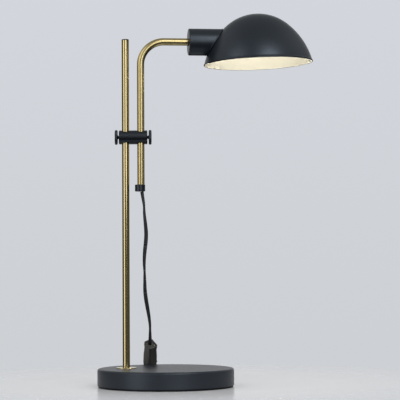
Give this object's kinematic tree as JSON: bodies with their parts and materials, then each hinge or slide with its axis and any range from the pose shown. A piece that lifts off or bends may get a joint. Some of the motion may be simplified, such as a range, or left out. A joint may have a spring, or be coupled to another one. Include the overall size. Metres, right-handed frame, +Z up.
{
  "type": "dome shade desk lamp",
  "caption": "Desk lamp with a dome shade on an L-shaped brass arm, held by a cross clamp that slides and turns on a brass mast over a round weighted base.",
  "frame": {"origin": "centre of the base's underside, on the table", "axes": "+X to the right towards the shade, +Y to the back, +Z up along the mast"},
  "size_m": [0.2963, 0.2775, 0.5092],
  "materials": {
    "shade_paint": "matt charcoal blue",
    "base_paint": "satin charcoal",
    "clamp_paint": "satin black",
    "cast_iron": "as cast, blacked",
    "pad_rubber": "matt",
    "antique_brass": "brushed and darkened",
    "bright_brass": "polished",
    "steel": "zinc plated",
    "black_plastic": "satin",
    "brown_fibre": "matt",
    "white_plastic": "satin",
    "copper_lead": "satin",
    "opal_glass": "opal",
    "bulb_metal": "bright",
    "flex": "satin black",
    "switch_plastic": "satin",
    "plug_plastic": "satin"
  },
  "bodies": {
    "base": {"base_cover": "base_paint", "base_weight": "cast_iron", "base_pad": "pad_rubber", "mast": "antique_brass", "mast_plug": "black_plastic", "mast_flange": "bright_brass", "mast_insert": "steel", "mast_screw": "steel", "mast_washer": "steel", "cord_drop": "flex", "switch_front": "switch_plastic", "switch_back": "switch_plastic", "switch_screws": "steel", "switch_terminals": "bright_brass", "cord_lead": "flex", "cord_coil": "flex", "cord_tie": "black_plastic", "cord_tail": "flex", "plug_body": "plug_plastic", "plug_relief": "plug_plastic", "plug_pins": "bright_brass"},
    "mast_bush": {"mast_bush": "black_plastic"},
    "clamp": {"clamp_body": "clamp_paint"},
    "left_pad": {"left_pressure_pad": "bright_brass"},
    "right_pad": {"right_pressure_pad": "bright_brass"},
    "left_thumb": {"left_thumb_screw": "clamp_paint"},
    "right_thumb": {"right_thumb_screw": "clamp_paint"},
    "arm_bush": {"arm_bush": "black_plastic"},
    "arm": {"arm_tube": "antique_brass", "cord_cap": "clamp_paint", "cap_grub_screw": "steel", "inner_cord": "flex", "pivot_nipple": "steel", "pivot_fibre_washer": "brown_fibre", "pivot_wave_washer": "steel", "pivot_nut": "steel", "holder_cap": "black_plastic", "holder_skirt": "black_plastic", "holder_insert": "white_plastic", "holder_shell": "bright_brass", "holder_tongue": "bright_brass", "holder_leads": "copper_lead", "bulb_glass": "opal_glass", "bulb_collar": "white_plastic", "bulb_cap": "bulb_metal", "bulb_tip": "bulb_metal"},
    "head": {"socket_cup": "shade_paint", "shade": "shade_paint", "shade_screws": "steel"},
    "rocker": {"switch_rocker": "switch_plastic"}
  },
  "joints": [
    {"name": "mast_slide", "type": "slide", "parent": "base", "child": "mast_bush", "axis": [0, 0, 1], "range_m": [-0.08, 0.11], "deforming": ["cord_drop"]},
    {"name": "mast_swivel", "type": "hinge", "parent": "mast_bush", "child": "clamp", "pos_m": [-0.0534, 0, 0.3384], "axis": [0, 0, 1], "range_deg": [-120, 120]},
    {"name": "arm_swivel", "type": "hinge", "parent": "clamp", "child": "arm_bush", "pos_m": [-0.0326, 0, 0.3384], "axis": [0, 0, 1], "range_deg": [-145, 135]},
    {"name": "arm_slide", "type": "slide", "parent": "arm_bush", "child": "arm", "axis": [0, 0, 1], "range_m": [-0.05, 0.05]},
    {"name": "shade_turn", "type": "hinge", "parent": "arm", "child": "head", "pos_m": [-0.0326, 0, 0.4694], "axis": [0.9925, 0.1219, 0], "range_deg": [-90, 90]},
    {"name": "left_pad_travel", "type": "slide", "parent": "clamp", "child": "left_pad", "axis": [-1, 0, 0], "range_m": [0, 0.00072]},
    {"name": "left_thumb_turn", "type": "hinge", "parent": "left_pad", "child": "left_thumb", "pos_m": [-0.064, 0, 0.3384], "axis": [-1, 0, 0], "range_deg": [0, 360]},
    {"name": "right_pad_travel", "type": "slide", "parent": "clamp", "child": "right_pad", "axis": [1, 0, 0], "range_m": [0, 0.00072]},
    {"name": "right_thumb_turn", "type": "hinge", "parent": "right_pad", "child": "right_thumb", "pos_m": [-0.022, 0, 0.3384], "axis": [1, 0, 0], "range_deg": [0, 360]},
    {"name": "rocker_tip", "type": "hinge", "parent": "base", "child": "rocker", "pos_m": [-0.02124, 0.09589, 0.03436], "axis": [0.5479, -0.5917, -0.5914], "range_deg": [-16, 0]}
  ],
  "couplings": [
    {"joint": "left_pad_travel", "follows": "left_thumb_turn", "m_per_rad": 0.00011141},
    {"joint": "right_pad_travel", "follows": "right_thumb_turn", "m_per_rad": 0.00011141}
  ]
}
